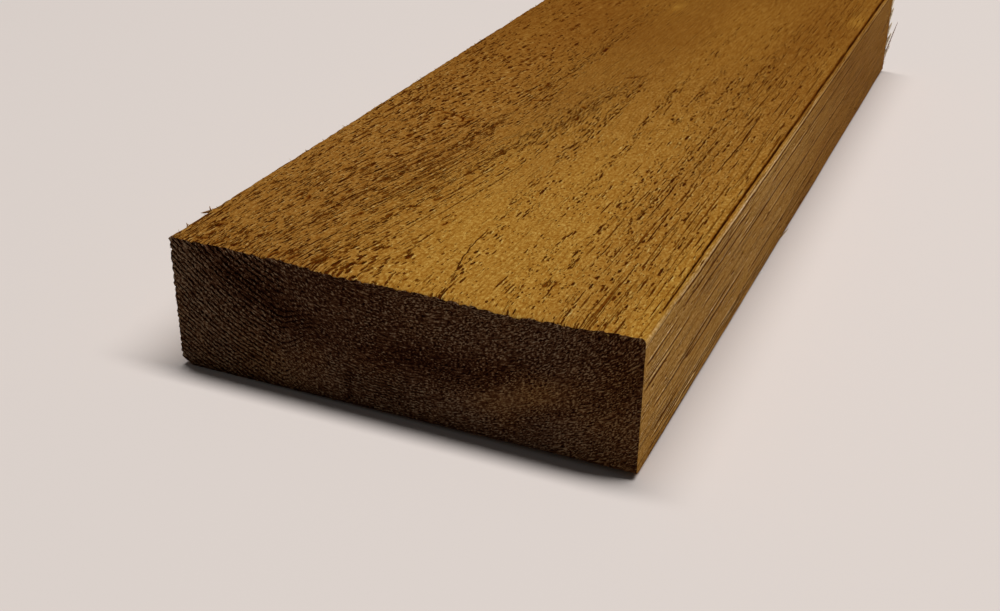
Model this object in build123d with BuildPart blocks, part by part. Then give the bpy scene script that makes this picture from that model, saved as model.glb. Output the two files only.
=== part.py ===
from build123d import *
import os

# Driving dimensions of the board, in millimetres
board_width = 75.0
board_thickness = 22.0
board_length = 200.0

# Corners of the sawn section, as seen from the near end
upper_left_round = 0.3
upper_right_round = 0.6
lower_right_round = 0.75

# Waney bevel at the lower left corner
wane_width = 2.3
wane_height = 1.4

# Drying check beside the upper right arris, which opens towards the far end
check_inset = 0.7
check_mouth_near = 0.12
check_mouth_far = 0.5
check_depth_near = 0.3
check_depth_far = 1.6

# Worn lower arris of the near end, a flat that widens from the left corner to the right one
wear_height_left = 0.1
wear_height_right = 1.1
wear_run_left = 0.15
wear_run_right = 1.5

half_width = board_width / 2
half_length = board_length / 2
check_line = half_width - check_inset

# The section stands in the XZ plane, with its back face on the ground, and runs along Y
with BuildPart() as board:
    with BuildSketch(Plane.XZ) as section:
        with BuildLine():
            Polyline(
                (-half_width + wane_width, 0),
                (half_width, 0),
                (half_width, board_thickness),
                (-half_width, board_thickness),
                (-half_width, wane_height),
                close=True,
            )
        make_face()
        upper_left = section.vertices().sort_by_distance((-half_width, board_thickness))[0]
        fillet(upper_left, upper_left_round)
        upper_right = section.vertices().sort_by_distance((half_width, board_thickness))[0]
        fillet(upper_right, upper_right_round)
        lower_right = section.vertices().sort_by_distance((half_width, 0))[0]
        fillet(lower_right, lower_right_round)
    extrude(amount=half_length, both=True)

    # The near end is at the lowest Y, which is where the XZ plane is offset to
    with BuildSketch(Plane.XZ.offset(half_length)):
        with BuildLine():
            Polyline(
                (check_line - check_mouth_near / 2, board_thickness),
                (check_line + check_mouth_near / 2, board_thickness),
                (check_line, board_thickness - check_depth_near),
                close=True,
            )
        make_face()
    with BuildSketch(Plane.XZ.offset(-half_length)):
        with BuildLine():
            Polyline(
                (check_line - check_mouth_far / 2, board_thickness),
                (check_line + check_mouth_far / 2, board_thickness),
                (check_line, board_thickness - check_depth_far),
                close=True,
            )
        make_face()
    loft(mode=Mode.SUBTRACT)

    # The wear is cut between its profiles at the left edge and at the right edge
    with BuildSketch(Plane.YZ.offset(-half_width)):
        with BuildLine():
            Polyline(
                (-half_length, 0),
                (-half_length + wear_run_left, 0),
                (-half_length, wear_height_left),
                close=True,
            )
        make_face()
    with BuildSketch(Plane.YZ.offset(half_width)):
        with BuildLine():
            Polyline(
                (-half_length, 0),
                (-half_length + wear_run_right, 0),
                (-half_length, wear_height_right),
                close=True,
            )
        make_face()
    loft(mode=Mode.SUBTRACT)

board.part.label = "cladding_board"

os.makedirs("parts", exist_ok=True)
export_step(board.part, "parts/cladding_board.step")
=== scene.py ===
import itertools

import bpy
import numpy as np
from mathutils import Matrix, Vector


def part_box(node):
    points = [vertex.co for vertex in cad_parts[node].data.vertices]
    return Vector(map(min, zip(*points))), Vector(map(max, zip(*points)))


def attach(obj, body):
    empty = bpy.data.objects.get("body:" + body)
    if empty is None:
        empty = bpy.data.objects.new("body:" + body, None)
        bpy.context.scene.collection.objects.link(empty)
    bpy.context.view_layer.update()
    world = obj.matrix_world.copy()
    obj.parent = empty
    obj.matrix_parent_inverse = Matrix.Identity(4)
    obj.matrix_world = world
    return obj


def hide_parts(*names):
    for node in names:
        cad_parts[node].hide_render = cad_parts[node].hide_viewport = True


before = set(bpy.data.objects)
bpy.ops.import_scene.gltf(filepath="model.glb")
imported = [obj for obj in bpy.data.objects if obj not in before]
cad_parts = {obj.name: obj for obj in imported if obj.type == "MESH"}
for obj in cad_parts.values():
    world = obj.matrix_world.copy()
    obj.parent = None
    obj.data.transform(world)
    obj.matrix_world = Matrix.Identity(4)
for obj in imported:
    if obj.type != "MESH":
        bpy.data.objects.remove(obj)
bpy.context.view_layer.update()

# Lengths are in millimetres, measured from the board's left edge, near end and back face
MM = 0.001
NODE = "cladding_board"
box_low, box_high = (np.array(corner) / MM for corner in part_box(NODE))
width, length, thickness = box_high - box_low

# Corners of the section, as the solid has them
upper_left_round = 0.3
upper_right_round = 0.6
lower_right_round = 0.75
wane_width = 2.3
wane_height = 1.4

# Drying check beside the upper right arris
check_x = width - 0.7
check_half_mouth = 0.15
check_depth_near = 0.2
check_depth_far = 1.1

check_dark_share = 0.9
check_dark_end = 0.27
check_dark_full = 0.12
check_dark_start_y = 8
check_dark_full_y = 50

# Worn lower arris of the near end, which widens from left to right
wear_height_left = 0.1
wear_height_right = 1.1
wear_run_left = 0.15
wear_run_right = 1.5

# The tree that the board was sawn from: its pith lies above the board and climbs towards the far end
pith_x = 38.6
pith_drift = -0.008
pith_height = thickness + 39.5
pith_climb = 0.008
first_radius = 40.0
ring_pitch = 1.35
ring_tightening = 0.009

# The mesh that carries the relief
across_step = 0.25
along_step = 0.36
far_step = 0.7
arris_band = 0.9
arris_lines = 6
most_triangles = 196000

# Sides that the photo hides: how far in from each they reach, and the share of their triangles that stays
hidden_below = 0.5
hidden_margin = 0.2
hidden_share = 0.12

# How far in from the arrises the wood is broken back
broken_reach = 0.35


def stepped(value, low, high):
    """Smooth step from 0 at low to 1 at high, which may lie either way round."""
    part = np.clip((value - low) / (high - low), 0, 1)
    return part * part * (3 - 2 * part)


def hump(x, y, centre_x, centre_y, reach_x, reach_y):
    """A soft round zone: 1 in its middle, fading over its reach."""
    return np.exp(-(((x - centre_x) / reach_x) ** 2 + ((y - centre_y) / reach_y) ** 2))


def wander(x, y, z, seed):
    """Smooth random values from -1 to 1, about one wave for each unit of the coordinates."""
    points = np.stack(np.broadcast_arrays(x, y, z), -1)
    corner = np.floor(points).astype(np.int64)
    part = points - corner
    part = part * part * (3 - 2 * part)
    total = np.zeros(len(points))
    for step in itertools.product((0, 1), repeat=3):
        key = (corner + step) @ np.array([73856093, 19349663, 83492791]) + seed * 1013904223
        key = (key ^ (key >> 15)) * 739393 & 0xFFFFFFFF
        key = (key ^ (key >> 13)) * 1274126177 & 0xFFFFFFFF
        share = np.where(step, part, 1 - part).prod(-1)
        total += share * ((key ^ (key >> 16)) / 0x7FFFFFFF - 1)
    return total


# The closed grid that becomes the board


def grid_lines(side, first_step, last_step, more=()):
    """Places of a grid's lines along one side of the box, closer together beside the arrises."""
    swell = (last_step / first_step - 1) / 2
    span = side - 2 * arris_band
    part = np.linspace(0, 1, round(span / (first_step * (1 + swell))) + 1)
    inner = arris_band + span * (part + swell * part**2) / (1 + swell)
    close = np.linspace(0, arris_band, arris_lines, endpoint=False)
    return np.unique(np.concatenate([close, inner, side - close, np.array(more)]))


def box_shell(xs, ys, zs):
    """Points and quads of a closed box with gridded sides, and the axis that each face looks along."""
    shape = (len(xs), len(ys), len(zs))
    on_shell = np.ones(shape, bool)
    on_shell[1:-1, 1:-1, 1:-1] = False
    number = np.zeros(shape, np.int32)
    number[on_shell] = np.arange(on_shell.sum())
    column, row, layer = np.nonzero(on_shell)
    points = np.stack([xs[column], ys[row], zs[layer]], -1)
    faces = []
    looks = []
    for axis, last in itertools.product(range(3), (False, True)):
        sheet = np.take(number, -last, axis)
        corners = [sheet[:-1, :-1], sheet[1:, :-1], sheet[1:, 1:], sheet[:-1, 1:]]
        quads = np.stack(corners, -1).reshape(-1, 4)
        if last == (axis == 1):
            quads = quads[:, ::-1]
        faces.append(quads)
        looks.append(np.full(len(quads), axis))
    return points, np.concatenate(faces), np.concatenate(looks)


def round_corner(x, z, right, upper, radius):
    """Moves what lies in a corner of the section onto a quarter disc."""
    turn_x = 1 if right else -1
    turn_z = 1 if upper else -1
    centre_x = width - radius if right else radius
    centre_z = thickness - radius if upper else radius
    out_x = (x - centre_x) * turn_x
    out_z = (z - centre_z) * turn_z
    inside = (out_x > 0) & (out_z > 0)
    shrink = np.maximum(out_x, out_z) / np.maximum(np.hypot(out_x, out_z), 1e-9)
    x = np.where(inside, centre_x + turn_x * out_x * shrink, x)
    z = np.where(inside, centre_z + turn_z * out_z * shrink, z)
    return x, z


def bevel_corner(across, up, bevel_width, bevel_height):
    """Moves what lies in a corner at the origin behind a straight bevel."""
    out_across = 1 - across / bevel_width
    out_up = 1 - up / bevel_height
    inside = (out_across > 0) & (out_up > 0)
    shrink = np.maximum(out_across, out_up) / np.maximum(out_across + out_up, 1e-9)
    across = np.where(inside, bevel_width * (1 - out_across * shrink), across)
    up = np.where(inside, bevel_height * (1 - out_up * shrink), up)
    return across, up


# What varies slowly over the wood, worked out at each point of the grid


def growth(x, y, z):
    """Number of the growth ring that a point lies in, and its place along that ring."""
    across = x - (pith_x + pith_drift * y)
    down = pith_height + pith_climb * y - z
    radius = np.hypot(across, down)
    radius += 0.3 * wander(x / 9, y / 45, z / 9, 1) + 0.1 * wander(x / 3, y / 14, z / 3, 2)
    out = radius - first_radius
    return out / ring_pitch + ring_tightening * out**2, np.arctan2(across, down) * radius


def flow_of_grain(x, y):
    """A measure across the grain: torn fibres run where it stays the same."""
    lean = 10 * np.exp(-(((x - 24) / np.where(x < 24, 16, 13)) ** 2)) * np.tanh((y - 30) / 45)
    waver = 0.4 - 0.3 * stepped(x, 54, 62)
    return x - lean + waver * wander(x / 6, y / 16, 0, 12)


# Furrows where many pits lie in a row: the places that each runs through, across and along the weather face
torn_rows = (
    ((45.0, 0), (43.4, 14), (43.0, 25), (41.7, 33), (41.6, 46), (41.3, 60), (42.0, 76), (41.2, 102)),
    ((23.5, 0), (26.0, 18), (28.2, 31), (30.0, 43), (31.8, 56), (33.2, 68)),
    (
        (12.0, 0), (16.2, 16), (19.8, 38), (22.5, 52), (24.6, 70),
        (25.2, 92), (26.2, 112), (26.6, 130), (25.8, 158),
    ),
    ((53.4, 3), (54.1, 16), (54.0, 28)),
    ((51.0, 38), (50.1, 47), (49.6, 56), (50.5, 66), (49.0, 76), (49.3, 98), (49.4, 122), (48.8, 150)),
    ((57.0, 5), (57.7, 22), (58.1, 36), (58.0, 52), (57.7, 90), (57.5, 160)),
    ((35.8, 70), (38.2, 90), (40.4, 104)),
    ((54.2, 80), (54.0, 118)),
    ((61.6, 30), (61.4, 90), (61.5, 150)),
)

# Thin cracks along the weather face: the places that each runs through, along and across, and its half width
face_cracks = (
    (((-2.5, 45.05), (0.0, 45.1), (6.0, 45.2)), 0.15),
    (((7.5, 43.9), (12.0, 42.9), (16.0, 42.4), (24.0, 42.1)), 0.09),
    (((8.0, 74.4), (30.0, 74.35), (60.0, 74.3), (90.0, 74.4), (140.0, 74.45), (200.0, 74.5)), 0.16),
    (((28.0, 65.6), (36.0, 65.5), (43.0, 65.4)), 0.12),
    (((5.5, 58.4), (9.0, 58.2), (12.5, 58.5)), 0.13),
    (((40.0, 63.0), (47.0, 63.1), (54.0, 62.8)), 0.12),
    (((35.0, 55.7), (42.5, 55.8)), 0.12),
    (((62.0, 67.7), (75.0, 67.9), (92.0, 67.6)), 0.12),
)

# Saw grooves along the right edge: the height of each, where it starts and ends, and its half width,
# which is drawn a little wider
groove_widening = 1.2
edge_grooves = (
    (20.65, 13, 230, 0.2),
    (18.55, 17, 60, 0.19),
    (17.8, 0, 17, 0.16),
    (16.6, 26, 54, 0.15),
    (15.2, 51, 68, 0.14),
    (14.8, 0, 24, 0.14),
    (14.3, 48, 90, 0.18),
    (13.8, 0, 17, 0.18),
    (12.8, 28, 43, 0.14),
    (9.2, 17, 49, 0.18),
    (8.5, 5, 29, 0.15),
    (7.8, 22, 58, 0.19),
    (4.2, 5, 22, 0.14),
    (3.1, 5, 70, 0.14),
    (2.5, 12, 62, 0.12),
    (1.8, 4, 80, 0.14),
    (17.2, 70, 150, 0.18),
    (11.3, 66, 170, 0.16),
    (5.4, 60, 140, 0.16),
)

# Marks on the weather face: the line that each follows, its half width and its depth
marks = (
    (((10.8, 67.8), (17.5, 66.2), (18.2, 64.2)), 0.22, 0.15),
    (((19.6, 66.4), (19.1, 63.0)), 0.26, 0.2),
    (((14.6, 64.4), (16.8, 63.8)), 0.24, 0.12),
    (((25.2, 80.6), (28.1, 82.0)), 0.26, 0.25),
    (((35.6, 81.3), (36.0, 80.9)), 0.4, 0.3),
    (((24.5, 91.0), (24.6, 89.8)), 0.32, 0.3),
    (((24.5, 87.6), (24.5, 86.8)), 0.32, 0.3),
    (((26.9, 118.6), (27.1, 116.6)), 0.36, 0.3),
    (((37.5, 101.5), (39.5, 103.2)), 0.2, 0.1),
    (((30.0, 4.2), (30.4, 5.2)), 0.28, 0.3),
    (((4.0, 1.6), (5.2, 2.4)), 0.3, 0.3),
    (((11.0, 22.4), (11.2, 21.4)), 0.24, 0.25),
    (((3.8, 6.4), (4.3, 7.6)), 0.34, 0.25),
    (((4.5, 3.2), (5.0, 4.6)), 0.3, 0.2),
    (((7.2, 0.9), (7.9, 2.1)), 0.38, 0.3),
    (((10.0, 1.6), (10.4, 2.8)), 0.28, 0.2),
    (((16.9, 1.0), (17.4, 2.4)), 0.34, 0.3),
    (((18.9, 2.6), (19.6, 4.4)), 0.26, 0.25),
    (((19.9, 1.4), (20.6, 3.6)), 0.24, 0.25),
    (((24.2, 2.0), (24.9, 4.0)), 0.3, 0.3),
    (((9.1, 21.5), (9.4, 22.5)), 0.3, 0.25),
    (((16.5, 19.8), (17.1, 21.3)), 0.26, 0.25),
    (((21.0, 18.6), (21.6, 20.3)), 0.3, 0.25),
    (((26.0, 20.3), (26.1, 21.6)), 0.26, 0.25),
    (((27.2, 25.6), (28.3, 26.4)), 0.28, 0.25),
    (((29.8, 29.4), (30.2, 30.8)), 0.26, 0.25),
    (((35.1, 21.4), (35.5, 22.6)), 0.24, 0.2),
)

# Dark pit in the near end and the short check below it, with the depth of the pit
pit_x = 29.7
pit_z = 5.4
pit_depth = 0.3


def near_line(x, y, line):
    """Distance of each point from a bent line."""
    nearest = np.full(len(x), np.inf)
    for (x0, y0), (x1, y1) in itertools.pairwise(line):
        run_x, run_y = x1 - x0, y1 - y0
        part = ((x - x0) * run_x + (y - y0) * run_y) / (run_x**2 + run_y**2)
        part = np.clip(part, 0, 1)
        nearest = np.minimum(nearest, np.hypot(x - x0 - part * run_x, y - y0 - part * run_y))
    return nearest


def marked(x, y):
    """Darkness and depth of the marks on the weather face."""
    dark = np.zeros(len(x))
    deep = np.zeros(len(x))
    shift = 0.2 * wander(x / 0.7, y / 0.9, 0, 5)
    for line, half_width, depth in marks:
        close = stepped(near_line(x + shift, y, line), half_width * 1.25, half_width * 0.35)
        dark = np.maximum(dark, close)
        deep = np.maximum(deep, close * depth)
    return dark, deep


def drying_check(x, y):
    """Depth of the drying check in the weather face."""
    side = np.abs(x - check_x) / check_half_mouth
    depth = check_depth_near + (check_depth_far - check_depth_near) * y / length
    return stepped(side, 1.4, 0.2) * stepped(y, 4, 16) * depth


def torn_share(x, y):
    """How many pits the saw tore in the wide faces, from 0 to 1."""
    share = 0.22 + 0.5 * stepped(x, 44, 18) * (1 - 0.6 * stepped(y, 70, 150))
    share += 0.3 * hump(x, y, 33, 3, 9, 9) + 0.25 * hump(x, y, 6, 2, 12, 6)
    share += 0.35 * hump(x, y, 38.5, 84, 4.5, 17) + 0.16 * stepped(x, 56, 62)
    share -= 0.2 * stepped(x, 70.5, 73) + 0.1 * stepped(y, 100, 180)
    share += 0.15 * wander(x / 5, y / 13, 0, 11)
    in_row = np.zeros(len(x))
    for line in torn_rows:
        in_row = np.maximum(in_row, np.exp(-((near_line(x, y, line) / 0.9) ** 2)))
    return np.clip(share + 0.5 * in_row, 0.05, 1)


def lined_share(x, y):
    """How many long thin lines run along the wide faces, from 0 to 1."""
    share = 0.2 + 0.5 * stepped(x, 57, 64) + 0.4 * hump(x, y, 26, 55, 7, 26) + 0.2 * stepped(x, 14, 5)
    share += 0.35 * stepped(x, 12, 18) * stepped(x, 37, 31) * stepped(y, 75, 50)
    return np.clip(share + 0.12 * wander(x / 4, y / 30, 0, 13), 0, 1)


def tone_of_face(x, y):
    """How golden the wide faces are, from 0 in the brown zones to 1."""
    tone = 0.06 + 0.84 * stepped(x, 18, 40) - 0.25 * stepped(x, 55, 64) + 0.3 * stepped(x, 70.5, 73)
    tone *= 1 - 0.8 * stepped(y, -10, 110)
    tone -= 0.3 * hump(x, y, 8, 0, 16, 5)
    tone += 0.5 * hump(x, y, 72, 163, 2.5, 5) + 0.5 * hump(x, y, 31, 157, 1.2, 4)
    return np.clip(tone + 0.12 * wander(x / 8, y / 26, 0, 14), 0, 1)


def slanted(x, z, centre_x, centre_z, rise, reach_along, reach_across):
    """A long slanted soft zone of the sawn ends, where rise is its height for each unit across."""
    size = np.hypot(1, rise)
    along = (x - centre_x + rise * (z - centre_z)) / size
    across = (z - centre_z - rise * (x - centre_x)) / size
    return hump(along, across, 0, 0, reach_along, reach_across)


def tone_of_end(x, z):
    """Light and dark zones of the sawn ends, in doublings of brightness, with painted shade along the bottom
    where they meet the floor.
    """
    radius = np.hypot(x - pith_x, pith_height - z)
    band = np.exp(-(((radius - 51.2) / 2.4) ** 2)) * stepped(x, 56, 46)
    tone = -0.9 * band * (0.35 + 0.65 * np.maximum(stepped(x, 26, 18), stepped(x, 30, 36)))
    tone -= 0.7 * slanted(x, z, 54, 11.6, 0.5, 9, 1.7)
    tone += 0.35 * stepped(radius, 53, 56) * (0.4 + 0.6 * hump(x, z, 18, 6, 9, 6))
    tone += 0.75 * slanted(x, z, 58, 8.6, 0.4, 7.5, 2.0) + 0.35 * hump(x, z, 70, 8, 8, 10)
    tone -= 0.9 * slanted(x, z, 63.2, 7.6, 0.3, 3.0, 0.7)
    # The last term darkens the lowest 1.6 mm: painted shade where the ends meet the floor.
    tone += 0.4 * stepped(x, 12, 6) - 0.7 * stepped(z, 1.6, 0.2)
    tone -= 0.4 * hump(x, z, 34, 14, 18, 9) + 0.28 * stepped(x, 63, 68)
    return tone + 0.3 * wander(x / 6, z / 4, 0, 15)


def ribbed_share(x, z):
    """How clearly the growth rings stand out on the sawn ends, from 0 to 1."""
    share = 0.16 + 0.84 * stepped(x, 25, 12)
    share += 0.75 * hump(x, z, 35, 4.5, 6, 3) + 0.2 * hump(x, z, 24, 13, 8, 5)
    return np.clip(share + 0.2 * hump(x, z, 62, 3, 12, 3) + 0.15 * wander(x / 3, z / 3, 0, 16), 0, 1)


def rough_share(x, z):
    """How much the broken cells of the sawn ends stand out, from 0 to 1."""
    return np.clip(1 - 0.5 * slanted(x, z, 58, 8.6, 0.4, 7, 2) + 0.2 * wander(x / 4, z / 4, 0, 18), 0, 1)


def ochre_share(x, z):
    """How yellow the brown of the sawn ends is, from 0 to 1."""
    share = slanted(x, z, 58, 8.6, 0.4, 9, 3) + 0.7 * stepped(x, 60, 72) + 0.5 * hump(x, z, 20, 5, 10, 5)
    return np.clip(share + 0.3 * wander(x / 4, z / 4, 0, 19), 0, 1)


def tone_of_edge(y, z):
    """Light and dark zones of the long edges, in doublings of brightness."""
    tone = 0.3 * stepped(z, thickness - 2.2, thickness - 1.4)
    tone -= 0.06 * stepped(y, 10, 40) + 0.48 * stepped(y, 50, 150)
    return tone - 0.2 * stepped(z, 3.5, 0.5) + 0.12 * wander(y / 30, z / 4, 0, 17)


def worn_away(x, y, z, ring):
    """How far the wood is broken back at the arrises, along each axis. Burrs stand out a little."""
    gaps = np.stack([np.minimum(x, width - x), np.minimum(y, length - y), np.minimum(z, thickness - z)])
    close = np.exp(-np.sort(gaps, axis=0)[1] / broken_reach)
    inward = np.stack([np.sign(width / 2 - x), np.sign(length / 2 - y), np.sign(thickness / 2 - z)])
    inward *= np.exp(-gaps / broken_reach)
    upper = stepped(z, thickness - 4, thickness)
    chips = np.clip(wander(x / 1.1, y / 1.3, z / 1.1, 21), 0, 1)
    teeth = wander(x / 0.45, y / 0.7, z / 0.45, 22)
    depth = -0.06 + (0.05 + 0.09 * upper) * chips + (0.04 + 0.04 * upper) * teeth
    notches = stepped(ring % 1, 0.0, 0.15) * stepped(ring % 1, 0.6, 0.3)
    notches *= 0.6 + 0.4 * wander(0, 0, z / 1.5, 28)
    depth += (0.1 * notches - 0.08) * stepped(x, 1.5, 0) * stepped(y, 1.5, 0)
    moves = inward * depth * close
    front = stepped(y, 1.6, 0) * upper * close
    bites = np.clip(wander(x / 1.9, 0, 0, 23), 0, 1) + np.clip(wander(x / 0.6, 0, 0, 24), 0, 1)
    drops = np.clip(wander(x / 1.5, 0, 0, 25), 0, 1) + np.clip(wander(x / 0.5, 0, 0, 26), 0, 1)
    moves[1] += 0.3 * bites * front
    moves[2] -= 0.22 * drops * front
    rolled = 0.36 * stepped(x, 20, 27) * stepped(x, 72, 66) + 0.25 * hump(x, 0, 31, 0, 5, 1)
    rolled += 0.3 * hump(x, 0, 54, 0, 7, 1)
    moves[2] -= rolled * np.exp(-y / 1.2) * stepped(z, thickness - 2, thickness)
    moves[2] += 0.22 * stepped(x, 64, 68) * stepped(y, 0.5, 0) * stepped(z, thickness - 1, thickness)
    return moves.T


# Node trees, written as arithmetic


class Num:
    """A number, vector or colour in a node tree. Arithmetic on it adds nodes to that tree."""

    def __init__(self, socket):
        self.socket = socket
        self.tree = socket.id_data

    def math(self, operation, *others):
        return made(self.tree, "ShaderNodeMath", (self, *others), operation=operation)

    def __add__(self, other):
        return self.math("ADD", other)

    def __sub__(self, other):
        return self.math("SUBTRACT", other)

    def __rsub__(self, other):
        return made(self.tree, "ShaderNodeMath", (other, self), operation="SUBTRACT")

    def __mul__(self, other):
        return self.math("MULTIPLY", other)

    def __truediv__(self, other):
        return self.math("DIVIDE", other)

    def size(self):
        return self.math("ABSOLUTE")

    def square(self):
        return self.math("MULTIPLY", self)

    def root(self):
        return self.math("SQRT")

    def fraction(self):
        return self.math("FRACT")

    def whole(self):
        return self.math("FLOOR")

    def doubled(self):
        """Two to the power of this number."""
        return made(self.tree, "ShaderNodeMath", (2.0, self), operation="POWER")

    def most(self, other):
        return self.math("MAXIMUM", other)

    def least(self, other):
        return self.math("MINIMUM", other)

    def limited(self):
        """Keeps the number between 0 and 1."""
        self.socket.node.use_clamp = True
        return self

    def eased(self, low, high):
        """Smooth step from 0 at low to 1 at high, which may lie either way round."""
        settings = {"interpolation_type": "SMOOTHSTEP"}
        return made(self.tree, "ShaderNodeMapRange", (self, low, high, 0.0, 1.0), **settings)


def feed(socket, value):
    """Links a value that nodes work out, or sets a plain one."""
    if isinstance(value, Num):
        value.tree.links.new(value.socket, socket)
    else:
        socket.default_value = value


def made(tree, kind, values, output=0, **settings):
    """Adds a node with these settings, feeds its inputs in order and gives one of its outputs."""
    node = tree.nodes.new(kind)
    for name, value in settings.items():
        setattr(node, name, value)
    for socket, value in zip(node.inputs, values):
        feed(socket, value)
    return Num(node.outputs[output])


def vector(tree, x, y, z=0.0):
    return made(tree, "ShaderNodeCombineXYZ", (x, y, z))


def parts(value):
    """The three numbers of a vector or colour."""
    node = value.tree.nodes.new("ShaderNodeSeparateXYZ")
    feed(node.inputs[0], value)
    return [Num(output) for output in node.outputs]


def noise(tree, x, y, z=0.0, detail=2.0, rough=0.5):
    """Smooth noise around 0, about one wave for each unit of the coordinates."""
    node = tree.nodes.new("ShaderNodeTexNoise")
    feed(node.inputs["Vector"], vector(tree, x, y, z))
    node.inputs["Scale"].default_value = 1.0
    node.inputs["Detail"].default_value = detail
    node.inputs["Roughness"].default_value = rough
    return Num(node.outputs[0]) - 0.5


def read(tree, name):
    """The three numbers that each point of the mesh holds under a name."""
    if tree.type == "GEOMETRY":
        node = tree.nodes.new("GeometryNodeInputNamedAttribute")
        node.data_type = "FLOAT_VECTOR"
        node.inputs["Name"].default_value = name
        return parts(Num(node.outputs["Attribute"]))
    node = tree.nodes.new("ShaderNodeAttribute")
    node.attribute_name = name
    return parts(Num(node.outputs["Vector"]))


# Relief of each kind of surface. The coarse height shapes the mesh, and the fine one is left to the finish


def tears(tree, across, along, share, cell, half_width, half_length):
    """Short torn pits that run along the grain, one to a cell, with a raised lip beside each. The finishes
    darken the pits, partly as painted shade, and lighten the lip as painted highlight.
    """
    cell_width, cell_length = cell
    node = tree.nodes.new("ShaderNodeTexVoronoi")
    node.voronoi_dimensions = "2D"
    node.inputs["Scale"].default_value = 1.0
    node.inputs["Randomness"].default_value = 0.9
    feed(node.inputs["Vector"], vector(tree, across / cell_width, along / cell_length))
    middle_across, middle_along, _ = parts(Num(node.outputs["Position"]))
    chance, longer, wider = parts(Num(node.outputs["Color"]))
    off_along = along - middle_along * cell_length
    off_across = across - middle_across * cell_width
    pit_width = wider * half_width[1] + half_width[0]
    pit_length = longer.square() * half_length[1] + half_length[0]
    ends = (off_along / pit_length).square()
    ragged = noise(tree, across * 2.4, along * 1.6, cell_width, 1.0) * 0.6
    there = ((share - chance) * 9.0).limited()
    pit = (((off_across / pit_width).square() + ends).root() + ragged).eased(1.0, 0.4) * there
    lip = (((off_across / pit_width - 1.8).square() + ends).root() + ragged).eased(1.2, 0.2) * there
    return pit, lip


def gaps(tree, across, along, share, waves, seed):
    """Dark gaps between strands of fibre, stretched along the grain, with a rim beside each. The finishes
    paint the gap dark, partly as shade, and the rim light as a highlight.
    """
    wide, long = waves
    limit = share * 0.14 - 0.16
    here = noise(tree, across * wide, along * long, seed, 3.0, 0.65)
    beside = noise(tree, across * wide - 0.4, along * long, seed, 3.0, 0.65)
    gap = (limit - here).eased(0.0, 0.1)
    rim = ((limit - beside).eased(0.0, 0.1) - gap).most(0.0)
    return gap, rim


def drawn(tree, along, across, line, half_width):
    """How near each place is to a thin bent line that runs along the board, from 0 to 1."""
    start = line[0][0]
    span = line[-1][0] - start
    low = min(place for _, place in line)
    reach = max(place for _, place in line) - low
    node = tree.nodes.new("ShaderNodeFloatCurve")
    curve = node.mapping.curves[0]
    for _ in line[2:]:
        curve.points.new(0.5, 0.5)
    for point, (place_along, place_across) in zip(curve.points, line):
        point.location = ((place_along - start) / span, (place_across - low) / reach)
        point.handle_type = "VECTOR"
    node.mapping.update()
    feed(node.inputs["Value"], (along - start) / span)
    off = (across - Num(node.outputs[0]) * reach - low) / half_width
    end = start + span
    return off.size().eased(1.2, 0.4) * along.eased(start, start + 2.0) * along.eased(end, end - 4.0)


def face_surface(tree):
    """Wide faces: coarse and fine height in millimetres, dark tears that are partly painted shade, a raised
    lip beside each that is painted light as a highlight, fibres.
    """
    x, y, z = read(tree, "rest")
    ring, _, flow = read(tree, "grain")
    _, torn, lined = read(tree, "face_look")
    along = y + z * 9.7
    across = flow + noise(tree, flow * 0.9, along * 0.25, 0.0, 3.0, 0.6) * 0.5
    band = (ring + noise(tree, flow * 0.5, along * 0.12, 3.0) * 0.5).fraction()
    row = band.eased(0.0, 0.1) * band.eased(0.5, 0.25)
    many = torn + row * 0.4
    long_share = lined * 0.6
    big_share = many * 0.95 - 0.4
    some_share = many * 0.75 - 0.2
    small_share = torn * 0.3 + 0.1
    long, long_lip = tears(tree, across, along, long_share, (0.95, 8.0), (0.11, 0.07), (1.5, 3.6))
    big, big_lip = tears(tree, across, along + 31, big_share, (1.1, 3.4), (0.16, 0.12), (0.6, 1.5))
    some, some_lip = tears(tree, across, along + 67, some_share, (0.7, 2.2), (0.12, 0.1), (0.35, 0.9))
    small, small_lip = tears(tree, across, along + 91, small_share, (0.46, 1.1), (0.09, 0.07), (0.18, 0.36))
    strand, strand_rim = gaps(tree, across, along, torn, (2.3, 0.28), 7.0)
    thread, thread_rim = gaps(tree, flow, along, lined, (2.0, 0.03), 11.0)
    swell = noise(tree, flow * 0.7, along * 0.09, 0.0, 2.0)
    clear = y.eased(160.0, 70.0) * 0.58 + 0.42
    fibre = noise(tree, across * 2.2, along * 0.2, 0.0, 3.0, 0.6)
    fuzz = noise(tree, across * 2.6, along * 1.3, 0.0, 3.0, 0.75) * clear
    # The dark of pits and gaps goes into both height and colour. In the colour it is partly dark torn wood
    # and partly painted shade in the hollows.
    pits = big.most(long * 0.75).most(some * 0.85).most(small * 0.6)
    dark = pits.most(strand * 0.65).most(thread * 0.5) * clear
    # Lip and rim beside each hollow: raised a little, and painted light in the colour as a highlight.
    lips_and_painted_highlight = big_lip.most(long_lip * 0.7).most(some_lip * 0.9).most(small_lip * 0.6)
    lips_and_painted_highlight = lips_and_painted_highlight.most(strand_rim * 0.5).most(thread_rim * 0.5) * clear
    wobble = noise(tree, x * 0.3, y * 0.8, 5.0, 2.0) * 0.3
    on_top = z.eased(thickness / 2, thickness / 2 + 1)
    for line, half_width in face_cracks:
        dark = dark.most(drawn(tree, y, x + wobble, line, half_width) * on_top)
    coarse = swell * 0.35 + big_lip * 0.08 - big * 0.2 - long * 0.1 - strand * 0.1 - thread * 0.05
    fine = lips_and_painted_highlight * 0.09 - dark * 0.28 + fibre * 0.25 + fuzz * 0.2
    return coarse, fine, dark, lips_and_painted_highlight, fibre, fuzz


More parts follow.
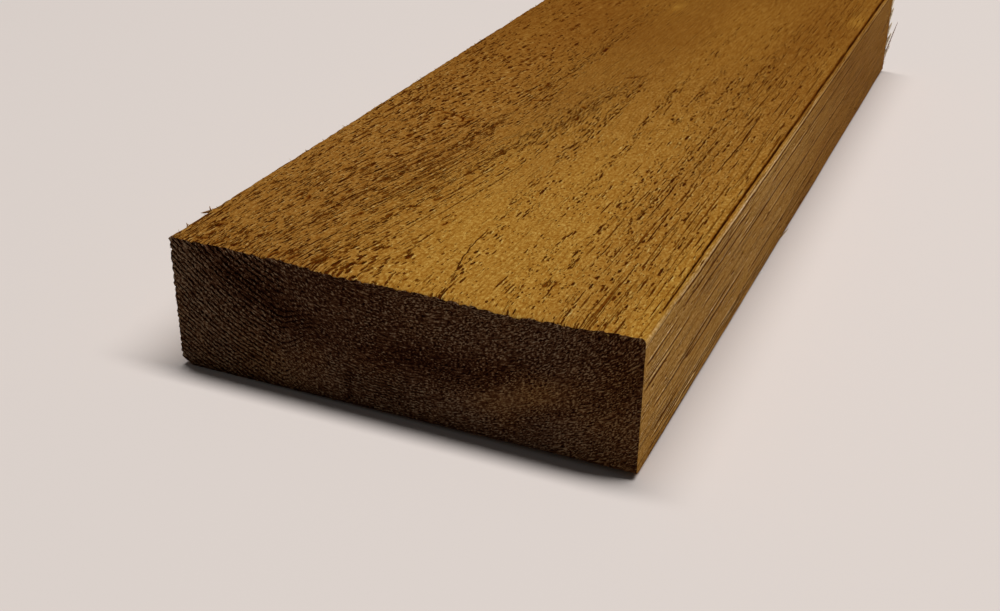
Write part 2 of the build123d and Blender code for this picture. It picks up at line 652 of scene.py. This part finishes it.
def edge_surface(tree):
    """Long edges: coarse and fine height in millimetres, dark grooves that are partly painted shade, a
    raised ridge above each that is painted light as a highlight, fibres.
    """
    x, y, z = read(tree, "rest")
    ring, _, _ = read(tree, "grain")
    bend = noise(tree, y * 0.02, z * 0.3, x, 2.0)
    dark, ridges_and_painted_highlight = tears(tree, z * -1.0, y, bend + 0.3, (0.9, 3.4), (0.12, 0.1), (0.3, 1.6))
    for pitch, seed, half_width, least in ((1.0, 3.1, 0.1, 0.04), (2.6, 8.7, 0.2, 0.04)):
        phase = (ring + bend * 0.25) * pitch + seed
        shown = noise(tree, phase.whole() * 3.7, y * 0.035, seed, 2.0, 0.6)
        shown = shown.eased(least, least + 0.08) * 0.75
        off = (phase.fraction() - 0.5) / half_width
        dark = dark.most(off.size().eased(1.1, 0.4) * shown)
        ridges_and_painted_highlight = ridges_and_painted_highlight.most((off + 2.0).size().eased(1.3, 0.3) * shown)
    on_right = x.eased(width / 2, width / 2 + 1)
    height = z + bend * 0.5
    for place, start, end, half_width in edge_grooves:
        shown = y.eased(start, start + 3.0) * y.eased(end, end - 8.0) * on_right
        off = (height - place) / (half_width * groove_widening)
        dark = dark.most(off.size().eased(1.2, 0.4) * shown)
        ridges_and_painted_highlight = ridges_and_painted_highlight.most((off - 2.0).size().eased(1.3, 0.3) * shown)
    down = z * -1.0 - bend * 0.5
    scored_share = z.eased(7.0, 4.0) * 0.3 + 0.4
    scored, scored_rim = gaps(tree, down, y, scored_share, (1.7, 0.025), 9.0)
    clear = y.eased(160.0, 50.0) * 0.35 + 0.65
    dark = dark.most(scored * 0.6) * clear
    ridges_and_painted_highlight = ridges_and_painted_highlight.most(scored_rim) * clear
    fibre = noise(tree, z * 3.4, y * 0.07, x, 3.0, 0.6)
    fuzz = noise(tree, z * 4.0, y * 1.2, x, 3.0, 0.7)
    coarse = noise(tree, z * 0.6, y * 0.05, x, 2.0) * 0.2
    fine = ridges_and_painted_highlight * 0.1 - dark * 0.25 + fibre * 0.2 + fuzz * 0.12
    return coarse, fine, dark, ridges_and_painted_highlight, fibre, fuzz


def end_surface(tree):
    """Sawn ends: coarse and fine height in millimetres, ring grooves, beads, broken cells, pale painted
    glints.
    """
    x, y, z = read(tree, "rest")
    ring, arc, _ = read(tree, "grain")
    _, ribbed, rough = read(tree, "end_look")
    finer = x.eased(18.0, 27.0) * 0.7 + 1.2
    part = (ring * finer + noise(tree, x * 1.3, z * 1.3, y, 2.0) * 0.7).fraction()
    broken = noise(tree, ring * 0.9, arc * 0.5, y, 2.0).eased(-0.2, 0.0)
    groove = part.eased(0.0, 0.14) * part.eased(0.46, 0.2) * ribbed * broken
    beads = noise(tree, ring * 1.7, arc * 1.7, y, 2.0, 0.6)
    patchy = noise(tree, ring * 0.5, arc * 0.25, y + 7.0, 2.0, 0.6)
    streaks = noise(tree, ring * 3.6, arc * 0.7, y, 2.0, 0.65) * patchy.eased(-0.12, 0.16)
    crumbs = noise(tree, ring * 4.8, arc * 2.2, y, 1.0, 0.6) * patchy.eased(0.24, -0.06)
    cells = (streaks + crumbs) * rough
    glints = noise(tree, x * 3.6, z * 3.2, y + 5.0, 1.0)
    coarse = beads * 0.2 - groove * 0.16
    fine = beads * 0.2 + cells * 0.25 - groove * 0.2
    return coarse, fine, groove, beads, cells, glints


def relief_tree():
    """Moves each point of the grid along its normal by the coarse height of the surface it lies on."""
    tree = bpy.data.node_groups.new("wood_relief", "GeometryNodeTree")
    tree.interface.new_socket("Geometry", in_out="INPUT", socket_type="NodeSocketGeometry")
    tree.interface.new_socket("Geometry", in_out="OUTPUT", socket_type="NodeSocketGeometry")
    start = tree.nodes.new("NodeGroupInput")
    finish = tree.nodes.new("NodeGroupOutput")
    moved = tree.nodes.new("GeometryNodeSetPosition")
    on_edge, on_end, on_face = read(tree, "sides")
    height = face_surface(tree)[0] * on_face
    height = height + edge_surface(tree)[0] * on_edge
    height = height + end_surface(tree)[0] * on_end
    normal = Num(tree.nodes.new("GeometryNodeInputNormal").outputs[0])
    push = scaled(tree, normal, height * MM)
    tree.links.new(start.outputs[0], moved.inputs["Geometry"])
    tree.links.new(push.socket, moved.inputs["Offset"])
    tree.links.new(moved.outputs[0], finish.inputs[0])
    return tree


# Finishes


def colour(tree, one, two, share):
    """Blend of two colours."""
    node = tree.nodes.new("ShaderNodeMix")
    node.data_type = "RGBA"
    sockets = [socket for socket in node.inputs if socket.type == "RGBA"]
    feed(node.inputs["Factor"], share)
    feed(sockets[0], one)
    feed(sockets[1], two)
    return Num(next(socket for socket in node.outputs if socket.type == "RGBA"))


def scaled(tree, value, by):
    """A vector or colour times a number."""
    node = tree.nodes.new("ShaderNodeVectorMath")
    node.operation = "SCALE"
    feed(node.inputs[0], value)
    feed(node.inputs["Scale"], by)
    return Num(node.outputs[0])


def toned(tree, base, level, pull_green, pull_blue):
    """A colour made lighter or darker by doublings. Darker wood is redder."""
    red, green, blue = parts(base)
    green = green * (level * pull_green).doubled()
    blue = blue * (level * pull_blue).doubled()
    return vector(tree, red * level.doubled(), green, blue)


def new_finish(name, shine):
    """A dull material, its node tree and its shader."""
    material = bpy.data.materials.new(name)
    material.use_nodes = True
    tree = material.node_tree
    shader = tree.nodes["Principled BSDF"]
    shader.inputs["Specular IOR Level"].default_value = shine
    return material, tree, shader


def bumped(tree, shader, height):
    """Gives a shader relief that is finer than its mesh. Height is in millimetres."""
    node = tree.nodes.new("ShaderNodeBump")
    node.inputs["Strength"].default_value = 1.0
    node.inputs["Distance"].default_value = MM
    feed(node.inputs["Height"], height)
    feed(shader.inputs["Normal"], Num(node.outputs[0]))


brown = (0.272, 0.116, 0.0182, 1.0)
gold = (0.37, 0.176, 0.0245, 1.0)
far_brown = (0.195, 0.073, 0.0085, 1.0)
olive = (0.43, 0.22, 0.046, 1.0)
end_brown = (0.06, 0.0242, 0.0105, 1.0)
end_ochre = (0.066, 0.022, 0.006, 1.0)
# Pale colour of the painted glints on the sawn ends
end_glint = (0.42, 0.32, 0.23, 1.0)
straw = (0.4, 0.24, 0.07)
# The two pale colours below, for the loose slivers, are partly their own colour and partly painted light.
# They are raised near white so that the thin slivers look lit where they stand in shade.
cream_with_painted_light = (0.92, 0.82, 0.6)
grey_with_painted_light = (0.9, 0.83, 0.82)
rust = (0.2, 0.09, 0.03)


def face_finish():
    material, tree, shader = new_finish("sawn_face", 0.015)
    coarse, fine, dark, lips_and_painted_highlight, fibre, fuzz = face_surface(tree)
    tone, _, _ = read(tree, "face_look")
    mark, _, _ = read(tree, "marks")
    _, y, _ = read(tree, "rest")
    base = colour(tree, colour(tree, brown, far_brown, y.eased(40.0, 150.0)), gold, tone)
    # Painted light: the lip and rim mask raises the colour as a painted highlight, and the dark of pits and
    # gaps is partly the torn wood's own colour, partly painted shade.
    level = fibre * 1.4 + fuzz * 3.0 + lips_and_painted_highlight * 0.5 - dark.most(mark) * 2.2
    feed(shader.inputs["Base Color"], toned(tree, base, level, 1.6, 2.9))
    feed(shader.inputs["Roughness"], fuzz * 0.2 + 0.75)
    bumped(tree, shader, coarse * 0.5 + fine)
    return material


def edge_finish():
    material, tree, shader = new_finish("sawn_edge", 0.015)
    coarse, fine, dark, ridges_and_painted_highlight, fibre, fuzz = edge_surface(tree)
    tone, _, _ = read(tree, "edge_look")
    # Painted light: the ridge mask raises the colour as a painted highlight, and the dark of the grooves is
    # partly the wood's own colour, partly painted shade under the ridge.
    level = tone + fibre * 1.6 + fuzz * 3.6 + ridges_and_painted_highlight * 0.65 - dark * 2.2
    feed(shader.inputs["Base Color"], toned(tree, vector(tree, *olive[:3]), level, 1.45, 2.7))
    feed(shader.inputs["Roughness"], fuzz * 0.2 + 0.72)
    bumped(tree, shader, coarse * 0.5 + fine)
    return material


def end_finish():
    material, tree, shader = new_finish("end_grain", 0.01)
    coarse, fine, groove, beads, cells, glints = end_surface(tree)
    tone, ribbed, _ = read(tree, "end_look")
    _, mark, ochre = read(tree, "marks")
    level = tone + beads * (4.0 - ribbed * 1.5) + cells * 12.5 - groove * 2.8 - mark * 1.6
    level = level + ribbed * 0.25 + 0.2
    level = level.most(-3.5).least(2.0)
    shade = toned(tree, colour(tree, end_brown, end_ochre, ochre), level, 1.4, 1.65)
    # Painted highlight: pale points stand in for light glinting off the cut cell walls.
    shade = colour(tree, shade, end_glint, glints.eased(0.24, 0.32) * 0.6)
    feed(shader.inputs["Base Color"], shade)
    shader.inputs["Roughness"].default_value = 0.75
    bumped(tree, shader, coarse * 0.5 + fine)
    return material


def fibre_finish():
    material, tree, shader = new_finish("loose_fibre", 0.02)
    x, y, z = read(tree, "rest")
    red, green, blue = read(tree, "tint")
    level = noise(tree, x * 3.0, y * 1.5, z * 3.0, 2.0) * 2.5
    feed(shader.inputs["Base Color"], toned(tree, vector(tree, red, green, blue), level, 1.2, 1.5))
    shader.inputs["Roughness"].default_value = 0.7
    return material


# The board


def smooth_board():
    """The board without relief: points, faces, the axis each face looks along and each point's sides."""
    beside_check = check_x + check_half_mouth * np.array([-1.6, -0.8, 0, 0.8, 1.6])
    xs = grid_lines(width, across_step, across_step, beside_check)
    ys = grid_lines(length, along_step, far_step)
    zs = grid_lines(thickness, across_step, across_step)
    points, faces, looks = box_shell(xs, ys, zs)
    x, y, z = points.T
    on_edge = (x == 0) | (x == width)
    on_end = (y == 0) | (y == length)
    on_face = (z == 0) | (z == thickness)
    on_sides = np.stack([on_edge, on_end, on_face], -1)
    on_sides = on_sides / on_sides.sum(1, keepdims=True)
    x, z = round_corner(x, z, False, True, upper_left_round)
    x, z = round_corner(x, z, True, True, upper_right_round)
    x, z = round_corner(x, z, True, False, lower_right_round)
    uneven = 1 + 0.25 * wander(y / 14, 0, 0, 31)
    x, z = bevel_corner(x, z, wane_width * uneven, wane_height * uneven)
    wear_run = wear_run_left + (wear_run_right - wear_run_left) * x / width
    wear_height = wear_height_left + (wear_height_right - wear_height_left) * x / width
    y, z = bevel_corner(y, z, wear_run, wear_height)
    return np.stack([x, y, z], -1), faces, looks, on_sides


def to_metres(points):
    return (points + box_low) * MM


def new_mesh(name, points, faces):
    mesh = bpy.data.meshes.new(name)
    mesh.vertices.add(len(points))
    mesh.vertices.foreach_set("co", points.astype(np.float32).ravel())
    mesh.loops.add(faces.size)
    mesh.loops.foreach_set("vertex_index", faces.astype(np.int32).ravel())
    mesh.polygons.add(len(faces))
    mesh.polygons.foreach_set("loop_start", np.arange(0, faces.size, faces.shape[1], dtype=np.int32))
    mesh.update(calc_edges=True)
    return mesh


def new_piece(name, mesh):
    piece = bpy.data.objects.new(name, mesh)
    bpy.context.scene.collection.objects.link(piece)
    return piece


def hold(mesh, name, values):
    """Keeps three numbers on each point of a mesh."""
    layer = mesh.attributes.new(name, "FLOAT_VECTOR", "POINT")
    layer.data.foreach_set("vector", np.stack(np.broadcast_arrays(*values), -1).astype(np.float32).ravel())


def listed(items, name, kind, size=1):
    """One property of many mesh items as an array."""
    found = np.empty(len(items) * size, kind)
    items.foreach_get(name, found)
    return found.reshape(-1, size) if size > 1 else found


def evaluated(piece):
    """A mesh of the piece with its modifiers applied."""
    found = bpy.data.meshes.new_from_object(piece.evaluated_get(bpy.context.evaluated_depsgraph_get()))
    piece.modifiers.clear()
    return found


def thin(piece, ratio, group=""):
    """Brings a piece down to a share of its triangles, at the points of one group if it is named."""
    if ratio < 1:
        fewer = piece.modifiers.new("fewer", "DECIMATE")
        fewer.ratio = ratio
        fewer.vertex_group = group
        piece.data = evaluated(piece)


# Where the sides lie on the sheet that textures are drawn on, by axis and whether the side is the far one:
# the two axes that it spreads along, its lower left corner, and its share of the sheet for each millimetre
sheet = {
    (2, True): ((1, 0), (0.008, 0.006), (0.0049, 0.0049)),
    (0, True): ((1, 2), (0.008, 0.382), (0.0049, 0.0049)),
    (2, False): ((1, 0), (0.008, 0.498), (0.0049, 0.0034)),
    (0, False): ((1, 2), (0.008, 0.761), (0.0049, 0.0034)),
    (1, False): ((0, 2), (0.008, 0.844), (0.0064, 0.0064)),
    (1, True): ((0, 2), (0.506, 0.844), (0.0064, 0.0064)),
}


def lay_out(mesh):
    """Gives the board a texture layout with one patch for each side."""
    rest = listed(mesh.attributes["rest"].data, "vector", np.float32, 3)
    corner = listed(mesh.loops, "vertex_index", np.int32)
    starts = listed(mesh.polygons, "loop_start", np.int32)
    counts = listed(mesh.polygons, "loop_total", np.int32)
    looks = listed(mesh.polygons, "material_index", np.int32)
    middle = np.add.reduceat(rest[corner], starts) / counts[:, None]
    far = middle[np.arange(len(looks)), looks] > np.array([width, length, thickness])[looks] / 2
    place = np.zeros((len(corner), 2))
    for (axis, last), (spread, low, share) in sheet.items():
        chosen = np.repeat((looks == axis) & (far == last), counts)
        place[chosen] = np.array(low) + rest[corner[chosen]][:, spread] * np.array(share)
    layer = mesh.uv_layers.new(name="OFBake")
    layer.data.foreach_set("uv", place.astype(np.float32).ravel())


def make_board():
    points, faces, looks, on_sides = smooth_board()
    x, y, z = points.T
    mesh = new_mesh(NODE, to_metres(points), faces)
    mesh.polygons.foreach_set("material_index", looks.astype(np.int32))

    _, on_end, on_face = on_sides.T
    on_top = on_face * (z > thickness / 2)
    on_near = on_end * (y < length / 2)
    ring, arc = growth(x, y, z)
    mark, mark_depth = marked(x, y)
    check_depth = drying_check(x, y)
    stray = x + 0.5 * wander(x / 0.7, z / 0.7, 0, 8)
    end_mark = hump(stray, z, pit_x, pit_z, 0.8, 1.2)
    end_mark += 0.6 * hump(stray, z, pit_x + 0.3, pit_z - 3, 0.4, 2.2)
    end_mark *= y < length / 2
    hold(mesh, "rest", (x, y, z))
    hold(mesh, "sides", on_sides.T)
    hold(mesh, "grain", (ring, arc, flow_of_grain(x, y)))
    hold(mesh, "face_look", (tone_of_face(x, y), torn_share(x, y), lined_share(x, y)))
    hold(mesh, "edge_look", (tone_of_edge(y, z), 0, 0))
    hold(mesh, "end_look", (tone_of_end(x, z), ribbed_share(x, z), rough_share(x, z)))
    check_dark = check_dark_share * stepped(np.abs(x - check_x), check_dark_end, check_dark_full)
    check_dark *= stepped(y, check_dark_start_y, check_dark_full_y)
    hold(mesh, "marks", (np.maximum(mark, check_dark) * (z > thickness / 2), end_mark, ochre_share(x, z)))

    piece = new_piece("board", mesh)
    piece.modifiers.new("relief", "NODES").node_group = relief_tree()
    mesh = evaluated(piece)
    moves = worn_away(x, y, z, ring)
    moves[:, 2] -= np.maximum(mark_depth, check_depth) * on_top
    moves[:, 1] += end_mark * pit_depth * on_near
    carved = listed(mesh.vertices, "co", np.float32, 3) + moves * MM
    mesh.vertices.foreach_set("co", carved.astype(np.float32).ravel())
    piece.data = mesh

    hidden = np.nonzero((z < hidden_below) | (x < hidden_margin) | (y > length - hidden_margin))[0]
    piece.vertex_groups.new(name="hidden").add(hidden.tolist(), 1.0, "REPLACE")
    seen_share = 1 - len(hidden) / len(points)
    thin(piece, seen_share + hidden_share * (1 - seen_share), "hidden")
    piece.vertex_groups.clear()
    triangles = sum(len(polygon.vertices) - 2 for polygon in piece.data.polygons)
    thin(piece, most_triangles / triangles)
    piece.data.name = "board"
    piece.data.shade_smooth()
    lay_out(piece.data)
    for finish in (edge_finish(), end_finish(), face_finish()):
        piece.data.materials.append(finish)
    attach(piece, "root")
    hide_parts(NODE)


# Loose fibres

# Slivers that the saw left: where each is rooted, where its tip lies, its half width and its colour
slivers = (
    ((0.2, 11.6, 21.8), (-0.9, 9.2, 22.0), 0.28, rust),
    ((0.1, 10.6, 21.8), (-0.45, 11.0, 22.6), 0.14, rust),
    ((0.15, 4.4, 21.8), (-0.3, 4.7, 22.35), 0.12, rust),
    ((74.9, 199.9, 3.0), (77.3, 200.0, 14.2), 0.24, grey_with_painted_light),
    ((74.8, 199.8, 4.2), (76.0, 200.1, 7.2), 0.45, cream_with_painted_light),
    ((74.8, 199.8, 6.8), (75.9, 200.1, 10.4), 0.4, cream_with_painted_light),
    ((74.8, 199.8, 9.8), (75.7, 200.1, 13.2), 0.35, cream_with_painted_light),
    ((74.8, 199.8, 13.4), (75.6, 200.1, 17.0), 0.35, cream_with_painted_light),
    ((74.8, 199.8, 16.6), (75.5, 200.2, 20.6), 0.35, cream_with_painted_light),
    ((74.6, 84.9, 0.3), (75.3, 91.5, 0.25), 0.14, straw),
    ((74.7, 68.7, 0.3), (75.6, 73.4, 0.2), 0.08, grey_with_painted_light),
)

# Arrises with a fuzz of fine fibres: both ends, the way out, how many fibres, the longest and their colour
fuzzy_arrises = (
    ((0.1, 2, 21.9), (0.1, 160, 21.9), (-0.7, 0, 0.5), 50, 0.6, straw),
    ((22, 0.1, 21.6), (72, 0.1, 21.6), (0, -0.7, 0.5), 50, 0.7, straw),
    ((0.1, 0.1, 2), (0.1, 0.1, 21), (-0.7, -0.5, 0), 36, 0.5, rust),
    ((74.9, 199.9, 2), (74.9, 199.9, 20), (0.8, 0.3, 0), 26, 1.0, cream_with_painted_light),
    ((74.8, 30, 21.8), (74.8, 190, 21.8), (0.6, 0, 0.6), 24, 0.5, straw),
    ((74.6, 20, 0.35), (74.6, 180, 0.35), (0.8, 0, 0), 16, 0.5, straw),
)
fuzz_half_width = 0.05
sliver_sides = 5
sliver_rings = ((0.0, 1.0), (0.35, 0.9), (0.7, 0.6), (0.9, 0.3))


def all_fibres():
    """Roots, tips, half widths and colours of the slivers and of the fuzz."""
    random = np.random.default_rng(5)
    roots, tips, half_widths, shades = (list(column) for column in zip(*slivers))
    for start, end, out, count, longest, shade in fuzzy_arrises:
        run = np.array(end) - start
        place = start + run * random.random((count, 1))
        lean = random.uniform(-1, 1, (count, 1))
        stray = random.normal(0, 0.15, (count, 3))
        way = out + run / np.linalg.norm(run) * lean + stray
        way *= longest * random.uniform(0.3, 1, (count, 1)) / np.linalg.norm(way, axis=1, keepdims=True)
        roots.extend(place)
        tips.extend(np.maximum(place + way, (-np.inf, -np.inf, fuzz_half_width)))
        half_widths.extend(fuzz_half_width * random.uniform(0.6, 1.4, count))
        shades.extend([shade] * count)
    return np.array(roots), np.array(tips), np.array(half_widths), np.array(shades)


def make_fibres():
    """One mesh of closed slivers that narrow to their tips."""
    roots, tips, half_widths, shades = all_fibres()
    run = tips - roots
    ahead = run / np.linalg.norm(run, axis=1, keepdims=True)
    aside = np.cross(ahead, (0.36, 0.48, 0.8))
    aside /= np.linalg.norm(aside, axis=1, keepdims=True)
    above = np.cross(ahead, aside)
    turns = np.arange(sliver_sides) * 2 * np.pi / sliver_sides
    rounds = np.cos(turns)[:, None, None] * aside + np.sin(turns)[:, None, None] * above
    bow = 0.12 * above * np.linalg.norm(run, axis=1, keepdims=True)
    layers = [roots[None]]
    for part, share in sliver_rings:
        middle = roots + run * part + bow * part * (1 - part)
        layers.append(middle + rounds * (half_widths * share)[:, None])
    layers.append(tips[None])
    points = np.concatenate(layers).transpose(1, 0, 2)
    count = points.shape[1]

    first = np.arange(sliver_sides) + 1
    after = np.roll(first, -1)
    corners = [np.stack([np.zeros_like(first), after, first], -1)]
    for ring in range(len(sliver_rings) - 1):
        low, high = ring * sliver_sides, (ring + 1) * sliver_sides
        corners.append(np.stack([first + low, after + low, after + high], -1))
        corners.append(np.stack([first + low, after + high, first + high], -1))
    top = (len(sliver_rings) - 1) * sliver_sides
    corners.append(np.stack([first + top, after + top, np.full_like(first, count - 1)], -1))
    faces = (np.concatenate(corners) + np.arange(len(points))[:, None, None] * count).reshape(-1, 3)
    points = points.reshape(-1, 3)
    mesh = new_mesh("loose_fibres", to_metres(points), faces)
    hold(mesh, "rest", points.T)
    hold(mesh, "tint", np.repeat(shades, count, 0).T)
    mesh.shade_smooth()
    mesh.materials.append(fibre_finish())
    piece = new_piece("loose_fibres", mesh)
    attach(piece, "root")


# Floor, light and camera

floor_colour = (0.7, 0.63, 0.59, 1.0)
lamp_place = (0.3, 0.22, 2.0)
lamp_width = 2.3
lamp_depth = 0.42
lamp_power = 48
sky_strength = 0.06
camera_place = (79.48, -244.47, 106.58)
camera_right = Vector((0.91453, 0.40434, 0.01206))
camera_ahead = Vector((-0.35162, 0.8093, -0.47053))
camera_lens = 47.45
camera_sensor = 36.0


def make_stage():
    scene = bpy.context.scene
    scene.view_settings.view_transform = "Standard"
    bpy.ops.mesh.primitive_plane_add(size=8)
    floor = bpy.context.object
    floor.name = "floor"
    material, _, shader = new_finish("floor", 0.08)
    shader.inputs["Base Color"].default_value = floor_colour
    shader.inputs["Roughness"].default_value = 0.6
    floor.data.materials.append(material)

    lamp = bpy.data.lights.new("overhead", "AREA")
    lamp.shape = "ELLIPSE"
    lamp.size = lamp_width
    lamp.size_y = lamp_depth
    lamp.energy = lamp_power
    new_piece("overhead", lamp).location = lamp_place
    world = bpy.data.worlds.new("studio")
    scene.world = world
    world.use_nodes = True
    sky = world.node_tree.nodes["Background"]
    sky.inputs["Color"].default_value = (1, 1, 1, 1)
    sky.inputs["Strength"].default_value = sky_strength

    lens = bpy.data.cameras.new("camera")
    lens.lens = camera_lens
    lens.sensor_width = camera_sensor
    lens.sensor_fit = "HORIZONTAL"
    camera = new_piece("camera", lens)
    up = camera_right.cross(camera_ahead)
    turn = Matrix((camera_right, up, -camera_ahead)).transposed().to_4x4()
    turn.translation = Vector(camera_place) * MM
    camera.matrix_world = turn
    scene.camera = camera


make_board()
make_fibres()
make_stage()
